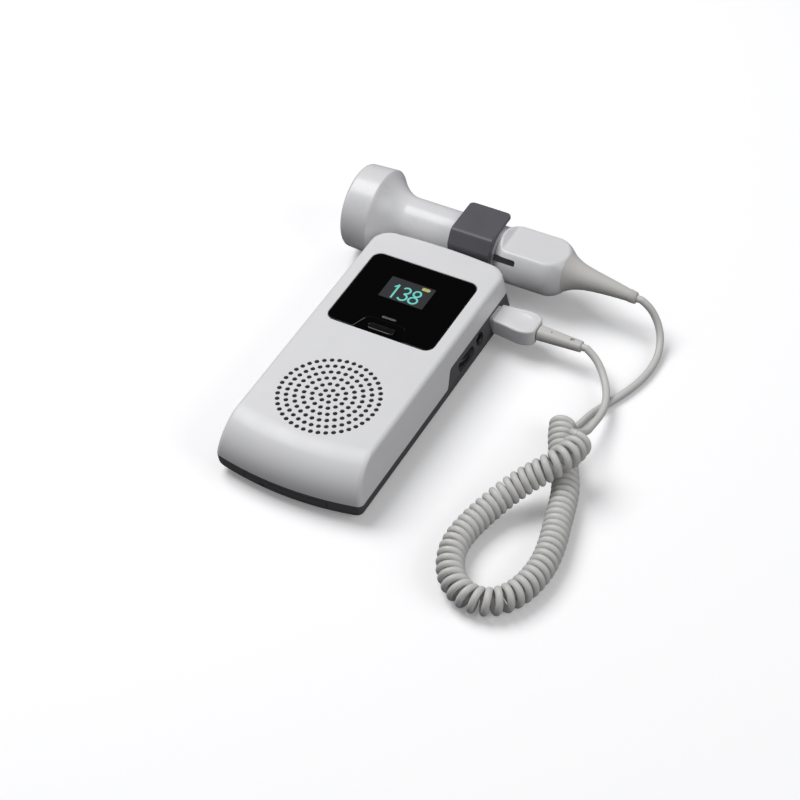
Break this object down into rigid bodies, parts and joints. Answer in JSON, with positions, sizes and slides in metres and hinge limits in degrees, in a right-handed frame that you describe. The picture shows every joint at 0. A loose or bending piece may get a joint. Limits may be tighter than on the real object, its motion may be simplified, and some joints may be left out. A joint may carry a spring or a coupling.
{
  "type": "fetal doppler monitor",
  "caption": "Hand-held fetal doppler: display unit with speaker grille, power button and volume wheel, a clip-held ultrasound probe and its curly plug-in cord.",
  "frame": {"origin": "middle of the rear cover's flat back, which the unit lies on", "axes": "+Z out of the display side, +Y from the battery end towards the head end that holds the probe, +X towards the side with the ports"},
  "size_m": [0.1655, 0.197, 0.0412],
  "materials": {
    "case_white": "fine satin moulding",
    "case_charcoal": "fine matt moulding",
    "window_black": "high gloss",
    "button_black": "gloss",
    "lens_smoked": "smoked, gloss",
    "display_dark": "dark, gloss",
    "carrier_plastic": "plain moulding",
    "board_green": "solder mask",
    "switch_steel": "pressed can",
    "screw_steel": "zinc plated",
    "gauze_black": "woven",
    "gasket_foam": "foam",
    "basket_steel": "pressed",
    "cone_black": "coated",
    "magnet_steel": "plated",
    "wheel_black": "ribbed rim",
    "pot_brown": "plain",
    "jack_black": "plain",
    "cell_wrap": "plain sleeve",
    "spring_steel": "nickel plated",
    "contact_nickel": "nickel plated",
    "holder_slate": "fine matt moulding",
    "probe_white": "semi-gloss",
    "face_pearl": "smooth",
    "piezo_ceramic": "fired, dull",
    "backing_foam": "foam",
    "contact_gold": "plated",
    "boot_grey": "soft matt",
    "cord_grey": "smooth sheath"
  },
  "bodies": {
    "unit": {"front_cover": "case_white", "rear_cover": "case_charcoal", "display_window": "window_black", "indicator_lens": "lens_smoked", "display_panel": "display_dark", "display_frame": "carrier_plastic", "main_board": "board_green", "power_switch": "switch_steel", "board_screw_1": "screw_steel", "board_screw_2": "screw_steel", "case_screw_1": "screw_steel", "case_screw_2": "screw_steel", "case_screw_3": "screw_steel", "case_screw_4": "screw_steel", "grille_gauze": "gauze_black", "speaker_gasket": "gasket_foam", "speaker_frame": "basket_steel", "speaker_cone": "cone_black", "speaker_magnet": "magnet_steel", "volume_potentiometer": "pot_brown", "headphone_jack": "jack_black", "probe_socket": "jack_black", "battery_1": "cell_wrap", "battery_2": "cell_wrap", "contact_spring_1": "spring_steel", "contact_spring_2": "spring_steel", "contact_plate_1": "contact_nickel", "contact_plate_2": "contact_nickel", "probe_holder": "holder_slate", "holder_screw_1": "screw_steel", "holder_screw_2": "screw_steel", "cord_tail_probe": "cord_grey", "cord_coil": "cord_grey", "cord_tail_connector": "cord_grey"},
    "button": {"power_button": "button_black"},
    "wheel": {"volume_wheel": "wheel_black"},
    "door": {"battery_door": "case_charcoal"},
    "probe": {"probe_head_shell": "probe_white", "probe_face": "face_pearl", "probe_crystals": "piezo_ceramic", "probe_backing": "backing_foam", "probe_board": "board_green", "probe_handle": "probe_white", "probe_boot": "boot_grey"},
    "plug": {"connector_shell": "probe_white", "connector_tongue": "contact_gold", "connector_boot": "boot_grey"}
  },
  "joints": [
    {"name": "power_button_press", "type": "slide", "parent": "unit", "child": "button", "axis": [0, 0, -1], "range_m": [0, 0.0005], "stiffness_N_per_m": 3000},
    {"name": "volume_wheel_turn", "type": "hinge", "parent": "unit", "child": "wheel", "pos_m": [0.0249, 0.0245, 0.012], "axis": [0, 0, 1], "range_deg": [-135, 135]},
    {"name": "battery_door_slide", "type": "slide", "parent": "unit", "child": "door", "axis": [0, -1, 0], "range_m": [0, 0.06]},
    {"name": "probe_release", "type": "slide", "parent": "unit", "child": "probe", "axis": [0, 1, 0], "range_m": [0, 0.03], "deforming": ["cord_tail_probe"]},
    {"name": "plug_release", "type": "slide", "parent": "unit", "child": "plug", "axis": [1, 0, 0], "range_m": [0, 0.012], "deforming": ["cord_tail_connector"]}
  ]
}
